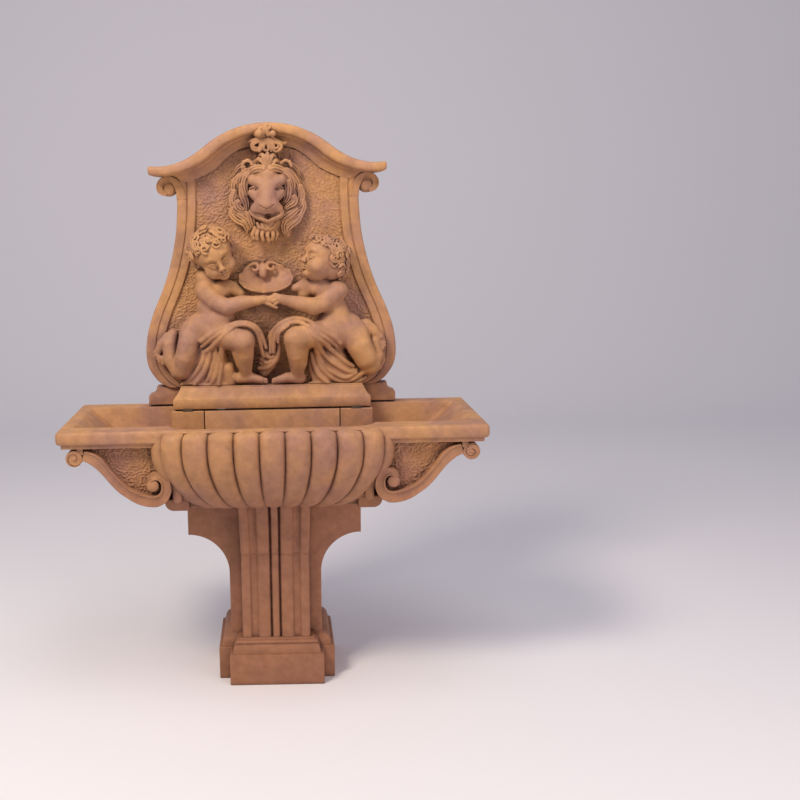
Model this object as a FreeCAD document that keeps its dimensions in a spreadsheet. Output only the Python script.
"""Garden wall fountain: pedestal, winged basin with a gadrooned bowl, moulded back with a lion
mask, two seated children holding a shell dish, and the pump, hose and drain that work it.

Millimetres, +Z up, +X to the right of someone who looks at the fountain, the wall behind it at +Y.
Every piece is drawn in the wall frame: x across, -y the distance from the wall, z the height. Its
Placement then carries it to the fountain's own frame, whose origin is on the ground below the
middle of its box.
"""
import FreeCAD
import Part
import Sketcher
import math
import os
import types

DOC = FreeCAD.newDocument("WallFountain")
Vec = FreeCAD.Vector
UP = Vec(0, 0, 1)

# Driving sizes, one row each: name, number (millimetres unless the note says otherwise), note.
SIZES = [
    ("reach", 452, "wall to the front of the bowl"),
    ("joint", 5, "open joint between two castings"),
    ("seat_height", 512, "ground to the top of the pedestal"),
    ("shaft_half", 127, "half width of the pedestal shaft"),
    ("shaft_back", 36, "wall to the back of the shaft"),
    ("shaft_front", 215, "wall to the front of the shaft"),
    ("wing_half", 238, "half width of the pedestal wings"),
    ("wing_edge", 100, "height of a wing's upright edge"),
    ("pier_half", 98, "half width of the fluted pier"),
    ("pier_front", 262, "wall to the front of the fluted pier"),
    ("flute_depth", 14, "depth of the flutes"),
    ("knee_height", 371, "height where the pier starts to lean out"),
    ("knee_flare", 24, "how far the pier leans out above the knee"),
    ("centre_rib", 12, "half width of the narrow middle rib"),
    ("rib_inner", 22, "middle to the near edge of a wide rib"),
    ("rib_outer", 57, "middle to the far edge of a wide rib"),
    ("strip_width", 22, "width of the pier's side strips"),
    ("rear_block_half", 161, "half width of the rear foot block"),
    ("rear_block_front", 235, "wall to the front of the rear foot block"),
    ("rear_block_rise", 92, "height of the rear foot block"),
    ("front_block_half", 130, "half width of the front foot block"),
    ("front_block_front", 284, "wall to the front of the front foot block"),
    ("front_block_rise", 88, "height of the front foot block"),
    ("foot_back", 8, "wall to the back of the foot"),
    ("foot_mould", 44, "height of the foot mouldings"),
    ("core_half", 98, "half width of the pedestal's hollow core"),
    ("core_front", 165, "wall to the front of the hollow core"),
    ("rim_height", 745, "ground to the basin rim"),
    ("basin_half", 552, "half width of the basin"),
    ("trough_front", 412, "wall to the front of the trough's rim"),
    ("rim_nose", 34, "height of the rounded rim"),
    ("rim_round", 13, "radius of the rim's rounding"),
    ("under_band", 11, "height of the band under the rim"),
    ("band_inset", 12, "how far that band lies back from the rim"),
    ("back_rim", 54, "width of the back rim"),
    ("front_rim", 69, "width of the front rim"),
    ("end_rim", 35, "width of the end rims"),
    ("trough_deep", 120, "rim down to the trough floor"),
    ("floor_half", 384, "half width of the trough floor"),
    ("field_face", 374, "wall to the stippled field under the rim"),
    ("scroll_relief", 22, "how far the scrolls stand out of the field"),
    ("scroll_band", 29, "width of the scroll's ribbon"),
    ("small_volute_x", 507, "middle to the eye of an end volute"),
    ("small_volute_drop", 73, "rim down to an end volute's eye"),
    ("small_volute", 21, "radius of an end volute"),
    ("big_volute_x", 303, "middle to the eye of a big volute"),
    ("big_volute_rise", 78, "pedestal's top up to a big volute's eye"),
    ("big_volute", 47, "radius of a big volute"),
    ("boss_x", 245, "middle to the axis of a boss beside the bowl"),
    ("boss_round", 34, "radius of a boss beside the bowl"),
    ("bowl_half", 307, "half width of the bowl"),
    ("bowl_flat", 230, "half width of the bowl's flat front"),
    ("bowl_corner", 76, "depth of the bowl's rounded corners"),
    ("lobe_depth", 9, "how far a gadroon swells"),
    ("lip_rise", 8, "height of the lip over the gadroons"),
    ("mouth_half", 264, "half width of the bowl's mouth"),
    ("mouth_front", 392, "wall to the front of the bowl's mouth"),
    ("sump_thick", 54, "thickness of the casting under the bowl's floor"),
    ("sump_half", 200, "half width of the floor in the bowl"),
    ("sump_front", 318, "wall to the front of the floor in the bowl"),
    ("house_half", 279, "half width over the pump house piers"),
    ("house_front", 142, "wall to the front of the pump house"),
    ("bay_half", 189, "half width of the pump bay"),
    ("bay_back", 36, "wall to the back of the pump bay"),
    ("cover_gap", 2, "gap at each side of the pump cover"),
    ("cover_thick", 32, "thickness of the pump cover"),
    ("cover_slot", 26, "width of the water slots in the cover's foot"),
    ("rear_base_half", 351, "half width of the rear base"),
    ("rear_base_depth", 52, "wall to the front of the rear base"),
    ("rear_base_rise", 27, "height of the rear base's upright face"),
    ("base_cove", 24, "height of the cove over that face"),
    ("plinth_low_half", 274, "half width of the plinth's lower slab"),
    ("plinth_low_front", 138, "wall to the front of the plinth's lower slab"),
    ("plinth_low_rise", 28, "height of the plinth's lower slab"),
    ("plinth_cove", 13, "height of the hollow between the plinth's slabs"),
    ("plinth_half", 252, "half width of the plinth's upper slab"),
    ("plinth_front", 121, "wall to the front of the plinth's upper slab"),
    ("plinth_rise", 21, "height of the plinth's upper slab"),
    ("hose_slot", 36, "width of the hose slot in the back of the castings"),
    ("panel_depth", 45, "wall to the stippled field of the panel"),
    ("frame_relief", 17, "how far the panel's frame stands out of the field"),
    ("frame_width", 54, "width of the panel's frame"),
    ("frame_groove", 26, "edge of the panel to the groove in its frame"),
    ("neck_half", 252, "half width of the panel's neck"),
    ("neck_height", 1285, "height where the neck starts to spread"),
    ("belly_half", 352, "half width of the panel's belly"),
    ("belly_height", 902, "height of the panel's widest part"),
    ("foot_half", 292, "half width of the panel where it stands on the base"),
    ("ear_x", 279, "middle to the eye of a panel volute"),
    ("ear_z", 1363, "height of the eye of a panel volute"),
    ("ear_round", 27, "radius of a panel volute"),
    ("hood_apex", 1523, "ground to the top of the hood"),
    ("hood_bend_x", 170, "middle to where the hood's curve turns"),
    ("hood_bend_z", 1463, "height where the hood's curve turns"),
    ("hood_half", 323, "half width of the hood"),
    ("hood_tip_z", 1415, "height of the hood's ends"),
    ("hood_band", 24, "thickness of the hood's front roll"),
    ("hood_front", 112, "wall to the front of the hood"),
    ("hood_bed", 26, "height of the mouldings under the roll"),
    ("lion_z", 1322, "height of the lion mask's middle"),
    ("muzzle_front", 132, "wall to the front of the lion's muzzle"),
    ("mouth_z", 1272, "height of the spout in the lion's mouth"),
    ("pipe_round", 6.5, "outer radius of the copper spout"),
    ("pipe_wall", 1.2, "wall of the copper spout"),
    ("pipe_end", 118, "wall to the end of the copper spout"),
    ("pipe_fit", 0.6, "clearance round the copper spout"),
    ("hose_round", 8.5, "outer radius of the hose"),
    ("hose_depth", 17, "wall to the middle of the hose in its slot"),
    ("hose_bend", 40, "radius of the hose's bends"),
    ("pipe_bend", 14, "radius of the copper spout's elbow"),
    ("hose_end", 1205, "height of the hose's upper end"),
    ("seat_gap", 0.3, "clearance between an applied piece and its seat"),
    ("dish_z", 1106, "height of the shell dish's rim"),
    ("dish_x", -10, "middle of the fountain to the middle of the shell dish"),
    ("dish_half", 76, "half width of the shell dish"),
    ("dish_depth", 52, "height of the shell dish"),
    ("dish_middle", 112, "wall to the middle of the shell dish"),
    ("dish_reach", 60, "half depth of the shell dish, wall to front"),
    ("dish_tilt", 24, "degrees that the shell dish tips forward"),
    ("dish_wall", 9, "wall of the shell dish"),
    ("pump_front_x", -9, "middle of the fountain to the open end of the pump's housing"),
    ("pump_back", 40, "wall to the back of the pump"),
    ("pump_length", 84, "length of the pump's motor housing"),
    ("pump_width", 58, "depth of the pump's motor housing"),
    ("pump_rise", 64, "height of the pump's motor housing"),
    ("pump_wall", 3, "wall of the pump's housing"),
    ("foot_rise", 9, "height of the pump's rubber feet"),
    ("chamber_round", 21, "outer radius of the impeller chamber"),
    ("chamber_length", 18, "length of the impeller chamber"),
    ("impeller_round", 15, "radius of the impeller"),
    ("magnet_round", 11, "radius of the rotor magnet"),
    ("magnet_length", 42, "length of the rotor magnet"),
    ("spindle_round", 1.5, "radius of the rotor spindle"),
    ("bush_round", 4, "radius of the rubber bushes that hold the spindle"),
    ("inlet_round", 9, "radius of the impeller chamber's inlet"),
    ("cage_round", 19, "outer radius of the intake cage"),
    ("cage_length", 16, "length of the intake cage"),
    ("dial_thick", 4, "thickness of the flow dial"),
    ("drain_x", 66, "middle to the drain"),
    ("drain_depth", 74, "wall to the middle of the drain"),
    ("drain_round", 13, "bore radius of the drain"),
    ("drain_thread", 0.8, "how far the drain's thread stands over its tail"),
    ("drain_flange", 24, "radius of the drain's flange"),
    ("drain_tail", 46, "length of the drain's tail under the basin"),
    ("dowel_round", 6, "radius of the steel dowels"),
    ("dowel_length", 60, "length of the steel dowels"),
    ("tie_x", 150, "middle to a wall tie"),
    ("tie_z", 1350, "height of a wall tie's screw hole"),
    ("tie_width", 30, "width of a wall tie"),
    ("tie_rise", 66, "height of a wall tie"),
    ("tie_thick", 4, "thickness of a wall tie"),
    ("tie_lip", 20, "length of the lip that holds the panel"),
    ("tie_hole", 4, "radius of a wall tie's screw hole"),
    ("pad_size", 28, "side of a setting pad"),
]


class Dim(float):
    """A size that carries its number and the sheet expression that it comes from."""

    def __new__(cls, number, text):
        dim = float.__new__(cls, number)
        dim.text = text
        return dim

    def __add__(self, other):
        return Dim(float(self) + float(other), "(%s + %s)" % (self.text, text_of(other)))

    def __sub__(self, other):
        return Dim(float(self) - float(other), "(%s - %s)" % (self.text, text_of(other)))

    def __rsub__(self, other):
        return Dim(float(other) - float(self), "(%s - %s)" % (text_of(other), self.text))

    def __mul__(self, other):
        return Dim(float(self) * float(other), "(%s * %s)" % (self.text, text_of(other)))

    def __truediv__(self, other):
        return Dim(float(self) / float(other), "(%s / %s)" % (self.text, text_of(other)))

    def __neg__(self):
        return Dim(-float(self), "(0 - %s)" % self.text)

    __radd__ = __add__
    __rmul__ = __mul__


def text_of(number):
    """The expression of a size, or a plain number in words the sheet reads."""
    return number.text if isinstance(number, Dim) else "%.9g" % number


def make_sheet():
    """Fill the sheet with the driving sizes and give them back by name."""
    sheet = DOC.addObject("Spreadsheet::Sheet", "sizes")
    for row, (name, number, note) in enumerate(SIZES, start=1):
        sheet.set("A%d" % row, name)
        sheet.set("B%d" % row, "%g" % number)
        sheet.set("C%d" % row, note)
        sheet.setAlias("B%d" % row, name)
    DOC.recompute()
    return types.SimpleNamespace(**{name: Dim(sheet.get(name), "sizes." + name) for name, _, _ in SIZES})


S = make_sheet()
NODES = []


def bind(thing, **expressions):
    """Tie properties of a document object to the sheet; a double underscore stands for a dot."""
    for prop, number in expressions.items():
        if isinstance(number, Dim):
            thing.setExpression(prop.replace("__", "."), number.text)
        else:
            thing.setExpression(prop.replace("__", "."), "%.9g" % number)


def keep(thing, label):
    """Name a finished piece and carry it from the wall frame to the fountain's own frame."""
    thing.Label = label
    bind(thing, Placement__Base__y=S.reach / 2)
    NODES.append(thing)
    return thing


def keep_at(thing, label, x, depth, height):
    """Name a finished piece that is drawn about its own axis and carry that axis to its place."""
    thing.Label = label
    bind(thing, Placement__Base__x=x, Placement__Base__y=S.reach / 2 - depth, Placement__Base__z=height)
    NODES.append(thing)
    return thing


def new_body(name):
    return DOC.addObject("PartDesign::Body", name)


def sketch_on(body, plane, offset=0.0):
    """A sketch parallel to one of the body's origin planes, at an offset along its normal."""
    sketch = body.newObject("Sketcher::SketchObject", "outline")
    origin = [item for item in body.Origin.OriginFeatures if item.Role == plane + "_Plane"][0]
    sketch.AttachmentSupport = (origin, "")
    sketch.MapMode = "FlatFace"
    bind(sketch, AttachmentOffset__Base__z=offset)
    return sketch


def arc_between(start, end, radius):
    """The shorter arc from start to end; its centre is on the left where the radius is positive."""
    chord = end - start
    middle = (start + end) * 0.5
    left = Vec(-chord.y, chord.x, 0).normalize()
    rise = math.sqrt(max(radius * radius - chord.Length ** 2 / 4, 0))
    centre = middle + left * math.copysign(rise, radius)
    return middle - left * math.copysign(abs(radius) - rise, radius), centre


def pin_point(sketch, item, vertex, u, v):
    """Hold one vertex at its place with dimensions tied to the sheet."""
    for axis, number, line in (("DistanceX", u, -2), ("DistanceY", v, -1)):
        if abs(float(number)) < 1e-9 and not isinstance(number, Dim):
            sketch.addConstraint(Sketcher.Constraint("PointOnObject", item, vertex, line))
            continue
        index = sketch.addConstraint(Sketcher.Constraint(axis, -1, 1, item, vertex, float(number)))
        if isinstance(number, Dim):
            sketch.setExpression("Constraints[%d]" % index, number.text)


def outline(sketch, corners):
    """Closed outline through corners (u, v) or (u, v, radius), the radius of the arc that follows."""
    spots = [Vec(float(c[0]), float(c[1]), 0) for c in corners]
    ends = []
    for i, corner in enumerate(corners):
        start, end = spots[i], spots[(i + 1) % len(spots)]
        if len(corner) == 2:
            item = sketch.addGeometry(Part.LineSegment(start, end), False)
            ends.append((item, 1, 2))
            continue
        mid, _ = arc_between(start, end, float(corner[2]))
        if corner[2] > 0:
            item = sketch.addGeometry(Part.Arc(start, mid, end), False)
            ends.append((item, 1, 2))
        else:
            item = sketch.addGeometry(Part.Arc(end, mid, start), False)
            ends.append((item, 2, 1))
    for i, (item, first, last) in enumerate(ends):
        following = ends[(i + 1) % len(ends)]
        sketch.addConstraint(Sketcher.Constraint("Coincident", item, last, following[0], following[1]))
    for (item, first, _), corner in zip(ends, corners):
        pin_point(sketch, item, first, corner[0], corner[1])
        if len(corner) == 3:
            size = Dim(abs(float(corner[2])), text_of(corner[2] if corner[2] > 0 else -corner[2]))
            index = sketch.addConstraint(Sketcher.Constraint("Radius", item, float(size)))
            sketch.setExpression("Constraints[%d]" % index, size.text)
    return sketch


def rectangle(sketch, left, right, low, high):
    return outline(sketch, [(left, low), (right, low), (right, high), (left, high)])


def rounded_rectangle(sketch, half, high, corner):
    """A rectangle about the origin with rounded corners."""
    return outline(sketch, [
        (half - corner, -high, corner), (half, corner - high),
        (half, high - corner, corner), (half - corner, high),
        (corner - half, high, corner), (-half, high - corner),
        (-half, corner - high, corner), (corner - half, -high),
    ])


def circle(sketch, u, v, radius):
    """A circle at (u, v), its centre and radius tied to the sheet."""
    item = sketch.addGeometry(Part.Circle(Vec(float(u), float(v), 0), Vec(0, 0, 1), float(radius)), False)
    pin_point(sketch, item, 3, u, v)
    index = sketch.addConstraint(Sketcher.Constraint("Radius", item, float(radius)))
    sketch.setExpression("Constraints[%d]" % index, text_of(radius))
    return sketch


def regular(sketch, u, v, radius, sides=12):
    """A round outline drawn in flats, its corners at the radius."""
    turns = [2 * math.pi * (i + 0.5) / sides for i in range(sides)]
    return outline(sketch, [(u + radius * math.cos(turn), v + radius * math.sin(turn)) for turn in turns])


def mirrored(right_side):
    """Close a right-hand outline, given from its foot up, with the same outline on the left."""
    left_side = []
    flipped = list(reversed(right_side))
    for i, corner in enumerate(flipped):
        arc = flipped[i + 1][2:] if i + 1 < len(flipped) else ()
        left_side.append((-corner[0], corner[1]) + tuple(arc))
    return [tuple(c) for c in right_side[:-1]] + [right_side[-1][:2]] + left_side


def pad(body, sketch, length, both=False, taper=0.0):
    feature = body.newObject("PartDesign::Pad", "pad")
    feature.Profile = sketch
    bind(feature, Length=length)
    feature.Midplane = both
    feature.TaperAngle = taper
    return feature


def pocket(body, sketch, depth, onward=False):
    """Cut back along the sketch's normal, or along it where onward is set."""
    feature = body.newObject("PartDesign::Pocket", "pocket")
    feature.Profile = sketch
    bind(feature, Length=depth)
    feature.Reversed = onward
    return feature


def feature_of(name, shape):
    """A free form whose shape is worked out from the sheet's sizes."""
    thing = DOC.addObject("Part::Feature", name)
    thing.Shape = shape
    return thing


def at(x, depth, height):
    """A point of the wall frame: across, out from the wall, up."""
    return Vec(float(x), -float(depth), float(height))


def block(left, right, back, front, low, high):
    """A plain box of the wall frame."""
    return Part.makeBox(float(right - left), float(front - back), float(high - low), at(left, front, low))


def rod(start, end, radius):
    return Part.makeCylinder(float(radius), (end - start).Length, start, end - start)


SIDES = 8
SMALL_SIDES, SMALL_LIMB = 6, 25


def ring_of(centre, side, front, radius, flat=1.0, sides=SIDES):
    """Corners of a regular ring about a centre, pressed by flat along its front."""
    turns = [2 * math.pi * (i + 0.5) / sides for i in range(sides)]
    return [centre + side * (radius * math.cos(turn)) + front * (radius * flat * math.sin(turn))
            for turn in turns]


def skin(rings):
    """A closed solid through rings of like shape: flat facets between them and a cap at each end."""
    faces = [Part.Face(Part.makePolygon(ring + ring[:1])) for ring in (rings[0], rings[-1])]
    for low, high in zip(rings, rings[1:]):
        for i in range(len(low)):
            j = (i + 1) % len(low)
            faces.append(Part.Face(Part.makePolygon([low[i], low[j], high[j], high[i], low[i]])))
    solid = Part.makeSolid(Part.makeShell(faces))
    if solid.Volume < 0:
        solid.reverse()
    return solid


def square_to(way):
    """Two directions square to a given one and to each other."""
    side = way.cross(Vec(0, 1, 0))
    side = side.normalize() if side.Length > 0.01 else Vec(1, 0, 0)
    return side, side.cross(way)


def flats(start, end, radius, sides=12):
    """A small rod or hole cut in flats: the flats' corners lie at the radius."""
    side, front = square_to((end - start).normalize())
    return skin([ring_of(spot, side, front, float(radius), 1.0, sides) for spot in (start, end)])


def turned(corners, way=UP, sides=12):
    """A small turned piece in flats, from its section: corners (radius, along its axis) in a loop."""
    side, front = square_to(way)
    rings = [[way * float(along)] if float(radius) == 0 else
             ring_of(way * float(along), side, front, float(radius), 1.0, sides)
             for radius, along in corners]
    faces = []
    for low, high in zip(rings, rings[1:] + rings[:1]):
        if len(low) == 1 and len(high) == 1:
            continue
        if min(len(low), len(high)) == 1:
            ring = max(low, high, key=len)
            faces.append(Part.Face(Part.makePolygon(ring + ring[:1])))
            continue
        for i in range(sides):
            j = (i + 1) % sides
            faces.append(Part.Face(Part.makePolygon([low[i], low[j], high[j], high[i], low[i]])))
    solid = Part.makeSolid(Part.makeShell(faces))
    if solid.Volume < 0:
        solid.reverse()
    return solid


def plate(wire, back, front):
    """A flat outline in x and z, carried from one distance from the wall to another."""
    face = Part.Face(wire)
    face.translate(Vec(0, -float(back), 0))
    return face.extrude(Vec(0, -float(front - back), 0))


def make_pedestal():
    """One casting: winged shaft, fluted pier in front, stepped foot, hollow core for the drain."""
    body = new_body("pedestal")
    foot_top = S.rear_block_rise + S.foot_mould * 0.75
    wing_foot = S.seat_height - S.wing_edge
    curve = S.wing_half - S.shaft_half
    shaft = sketch_on(body, "XZ", S.shaft_back)
    outline(shaft, mirrored([
        (S.shaft_half, S.rear_block_rise * 0.5),
        (S.shaft_half, wing_foot - curve, -curve),
        (S.wing_half, wing_foot),
        (S.wing_half, S.seat_height),
    ]))
    pad(body, shaft, S.shaft_front - S.shaft_back)
    rear = sketch_on(body, "XY", 0)
    rectangle(rear, -S.rear_block_half, S.rear_block_half, -S.rear_block_front, -S.foot_back)
    pad(body, rear, S.rear_block_rise)
    slope = sketch_on(body, "XY", S.rear_block_rise)
    inset = S.foot_mould * 0.1
    rectangle(slope, -S.rear_block_half + inset, S.rear_block_half - inset,
              -S.rear_block_front + inset, -S.foot_back - inset)
    pad(body, slope, foot_top - S.rear_block_rise, taper=-30)
    front = sketch_on(body, "XY", 0)
    rectangle(front, -S.front_block_half, S.front_block_half, -S.front_block_front, -S.shaft_front)
    pad(body, front, S.front_block_rise)
    mould = sketch_on(body, "XY", S.front_block_rise)
    rectangle(mould, -S.front_block_half + inset, S.front_block_half - inset,
              -S.front_block_front + inset, -S.shaft_front)
    pad(body, mould, S.foot_mould * 0.6, taper=-32)
    fillet_step = sketch_on(body, "XY", S.front_block_rise)
    rectangle(fillet_step, -S.pier_half - inset, S.pier_half + inset, -S.pier_front - inset, -S.shaft_front)
    pad(body, fillet_step, S.foot_mould)
    pier = sketch_on(body, "YZ", -S.pier_half)
    core_face = S.pier_front - S.flute_depth
    outline(pier, [
        (-S.shaft_front, S.front_block_rise),
        (-S.shaft_front, S.seat_height),
        (-core_face - S.knee_flare, S.seat_height),
        (-core_face, S.knee_height),
        (-core_face, S.front_block_rise),
    ])
    pad(body, pier, S.pier_half * 2)
    # Five ribs in front of the pier: side strips, two wide ribs and a narrow one between them.
    ribs = [(-S.pier_half, -S.pier_half + S.strip_width), (-S.rib_outer, -S.rib_inner),
            (-S.centre_rib, S.centre_rib), (S.rib_inner, S.rib_outer),
            (S.pier_half - S.strip_width, S.pier_half)]
    for left, right in ribs:
        rib = sketch_on(body, "YZ", left)
        outline(rib, [
            (-core_face, S.front_block_rise),
            (-core_face, S.knee_height),
            (-core_face - S.knee_flare, S.seat_height),
            (-S.pier_front - S.knee_flare, S.seat_height),
            (-S.pier_front - S.flute_depth * 0.3, S.knee_height),
            (-S.pier_front, S.knee_height - S.flute_depth * 0.6),
            (-S.pier_front, S.front_block_rise),
        ])
        pad(body, rib, right - left)
    hollow = sketch_on(body, "XY", S.seat_height)
    rectangle(hollow, -S.core_half, S.core_half, -S.core_front, 0)
    pocket(body, hollow, S.seat_height)
    for side in (-1, 1):
        socket = sketch_on(body, "XY", S.seat_height)
        regular(socket, S.wing_half * (side * 0.75), -S.core_front * 0.75, S.dowel_round)
        pocket(body, socket, S.dowel_length / 2)
    return keep(body, "pedestal")


def sump_floor():
    """Height of the floor in the bowl, where the pump and the drain stand."""
    return S.seat_height + S.sump_thick


def wing_floor():
    """Height of the trough's floor."""
    return S.rim_height - S.trough_deep


def small_volute_height():
    return S.rim_height - S.small_volute_drop


def big_volute_height():
    return S.seat_height + S.big_volute_rise


def scroll_curve():
    """The right-hand lower edge of the trough's end, from the end volute to the big volute."""
    start = Vec(S.small_volute_x - S.small_volute * 0.75, small_volute_height() - S.small_volute * 0.15, 0)
    end = Vec(S.big_volute_x, big_volute_height() - S.big_volute, 0)
    turn = start + (end - start) * 0.42 + Vec(0, -4, 0)
    upper, _ = arc_between(start, turn, (end - start).Length * 0.68)
    lower, _ = arc_between(turn, end, -(end - start).Length * 0.68)
    return [start, upper, turn, lower, end]


def flat_arc(start, middle, end):
    """An arc of the x and z plane through three points given as (x, z, 0)."""
    turned = [Vec(p.x, 0, p.y) for p in (start, middle, end)]
    return Part.Arc(*turned).toShape()


def flat_line(start, end):
    return Part.makeLine(Vec(start.x, 0, start.y), Vec(end.x, 0, end.y))


def disc(x, z, radius, back, front):
    """A round plate that faces the viewer, cut in flats."""
    return flats(at(x, back, z), at(x, front, z), radius, 16)


def both_sides(shape):
    """A shape and its mirror image on the other side of the middle."""
    return [shape, shape.mirror(Vec(0, 0, 0), Vec(1, 0, 0))]


def trough_end():
    """The scrolled body under one end of the trough, its ribbon and its two volutes."""
    start, upper, turn, lower, end = scroll_curve()
    top = float(S.rim_height - S.rim_nose)
    inner = Vec(float(S.bowl_flat) * 0.5, end.y, 0)
    corner = Vec(inner.x, top, 0)
    reach_x = float(S.small_volute_x)
    edges = [flat_arc(start, upper, turn), flat_arc(turn, lower, end), flat_line(end, inner),
             flat_line(inner, corner), flat_line(corner, Vec(reach_x, top, 0)),
             flat_line(Vec(reach_x, top, 0), start)]
    body = plate(Part.Wire(edges), 0, S.field_face)
    shift = Vec(-float(S.scroll_band) * 0.62, float(S.scroll_band) * 0.78, 0)
    over = [p + shift for p in (start, upper, turn, lower)] + [end + Vec(0, float(S.scroll_band), 0)]
    ribbon_edges = [flat_arc(start, upper, turn), flat_arc(turn, lower, end), flat_line(end, over[4]),
                    flat_arc(over[4], over[3], over[2]), flat_arc(over[2], over[1], over[0]),
                    flat_line(over[0], start)]
    ribbon = plate(Part.Wire(ribbon_edges), 0, S.field_face + S.scroll_relief)
    small = disc(S.small_volute_x, small_volute_height(), S.small_volute, 0, S.field_face + S.scroll_relief)
    neck_top = small_volute_height() + S.small_volute * 0.6
    neck = block(S.small_volute_x - S.small_volute, S.small_volute_x, 0, S.field_face + S.scroll_relief,
                 neck_top, S.rim_height - S.rim_nose)
    big = disc(S.big_volute_x, big_volute_height(), S.big_volute, 0, S.field_face + S.scroll_relief)
    boss = disc(S.boss_x, S.seat_height + S.boss_round + S.joint, S.boss_round, 0, S.field_face - S.joint)
    return body.multiFuse([ribbon, small, neck, big, boss])


def lobe_wire(inset, height, swell, back):
    """A level outline of the bowl: seven gadroons in front, two round each corner, each in four flats."""
    half = float(S.bowl_half) - inset
    share = half / float(S.bowl_half)
    flat = float(S.bowl_flat) * share
    front = float(S.reach) - inset - swell
    corner = float(S.bowl_corner) * share
    lobes, corner_lobes, steps = 7, 2, 4
    spots = [(half, front - corner)]
    for i in range(1, corner_lobes):
        turn = math.pi / 2 * i / corner_lobes
        spots.append((flat + (half - flat) * math.cos(turn), front - corner + corner * math.sin(turn)))
    right = spots + [(flat - 2 * flat * i / lobes, front) for i in range(lobes + 1)]
    ring = [at(x, depth, height) for x, depth in right + [(-x, depth) for x, depth in reversed(spots)]]
    points = []
    for a, b in zip(ring, ring[1:]):
        chord = b - a
        out = Vec(-chord.y, chord.x, 0).normalize()
        points += [a + chord * (i / steps) + out * (swell * math.sin(math.pi * i / steps) ** 0.75)
                   for i in range(steps)]
    points += [ring[-1], at(-half, back, height), at(half, back, height)]
    return Part.makePolygon(points + points[:1])


def make_bowl_outside():
    """The gadrooned front: lobed outlines that draw in towards the foot, lofted together."""
    top = float(S.rim_height - S.lip_rise)
    foot = float(S.seat_height + S.joint)
    drop = top - foot
    # Share of the drop, inset from the widest outline, share of the full swell.
    levels = [(0.0, 13, 0.55), (0.07, 4, 0.9), (0.2, 0, 1.0), (0.38, 6, 1.0), (0.58, 28, 0.9),
              (0.78, 64, 0.75), (0.93, 104, 0.5), (1.0, 130, 0.3)]
    wires = [lobe_wire(inset, top - drop * share, float(S.lobe_depth) * swell, S.core_front)
             for share, inset, swell in levels]
    bowl = Part.makeLoft(wires, True, True)
    lip_half, lip_front = S.bowl_half - 12, S.reach - 13
    lip = rounded_slab(lip_half, S.core_front, lip_front, S.bowl_corner, top, S.rim_height)
    return bowl.fuse(lip)


def rounded_outline(half, back, front, corner, height):
    """A level outline whose two front corners are quarter rounds in four flats."""
    flat, depth, corner, steps = float(half - corner), float(front - corner), float(corner), 4
    turns = [math.pi / 2 * i / steps for i in range(steps + 1)]
    right = [at(flat + corner * math.cos(turn), depth + corner * math.sin(turn), height) for turn in turns]
    left = [Vec(-p.x, p.y, p.z) for p in reversed(right)]
    points = [at(half, back, height)] + right + left + [at(-half, back, height)]
    return Part.makePolygon(points + points[:1])


def rounded_slab(half, back, front, corner, low, high):
    """A slab with two rounded front corners."""
    return Part.Face(rounded_outline(half, back, front, corner, low)).extrude(Vec(0, 0, float(high - low)))


def trough_hollow():
    """The water space: sloping ends, flat wing floors, the bowl's own hollow, less the piers."""
    inner_front = S.trough_front - S.front_rim
    mouth = S.basin_half - S.end_rim
    points = [Vec(-float(mouth), float(S.rim_height), 0), Vec(-float(S.floor_half), float(wing_floor()), 0),
              Vec(float(S.floor_half), float(wing_floor()), 0), Vec(float(mouth), float(S.rim_height), 0)]
    wire = Part.Wire([flat_line(a, b) for a, b in zip(points, points[1:] + points[:1])])
    trough = plate(wire, S.back_rim, inner_front)
    bowl = Part.makeLoft([
        rounded_outline(S.sump_half, S.house_front, S.sump_front, S.bowl_corner * 0.6, sump_floor()),
        rounded_outline(S.mouth_half, S.house_front, S.mouth_front, S.bowl_corner * 0.8, S.rim_height),
    ], True, True)
    bay = block(-S.bay_half, S.bay_half, S.bay_back, S.house_front + 1, sump_floor(), S.rim_height)
    piers = [block(side * S.bay_half if side > 0 else -S.house_half,
                   S.house_half if side > 0 else -S.bay_half,
                   0, S.house_front, sump_floor(), S.rim_height) for side in (1, -1)]
    return trough.cut(Part.makeCompound(piers)).fuse([bowl, bay])


def make_basin():
    """One casting: rim, scrolled trough ends, gadrooned bowl, pump house piers."""
    rim_low = S.rim_height - S.rim_nose
    rim = block(-S.basin_half, S.basin_half, 0, S.trough_front, rim_low, S.rim_height)
    nose = [e for e in rim.Edges if abs(e.CenterOfMass.z - float(S.rim_height - S.rim_nose / 2)) > 1
            and abs(e.CenterOfMass.y) > 1]
    rim = rim.makeChamfer(float(S.rim_round) * 0.6, nose)
    band = block(-S.basin_half + S.band_inset, S.basin_half - S.band_inset, 0,
                 S.trough_front - S.band_inset, rim_low - S.under_band, rim_low + 1)
    middle = block(-S.wing_half, S.wing_half, 0, S.sump_front, S.seat_height, rim_low)
    bowl = feature_of("bowl_outside", make_bowl_outside())
    ends = [piece for piece in both_sides(trough_end())]
    outside = feature_of("basin_outside", rim.multiFuse([band, middle] + ends))
    whole = DOC.addObject("Part::MultiFuse", "basin_blank")
    whole.Shapes = [outside, bowl]
    hollow = feature_of("basin_hollow", trough_hollow().multiFuse(basin_holes()))
    basin = DOC.addObject("Part::Cut", "basin")
    basin.Base = whole
    basin.Tool = hollow
    return keep(basin, "basin")


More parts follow.
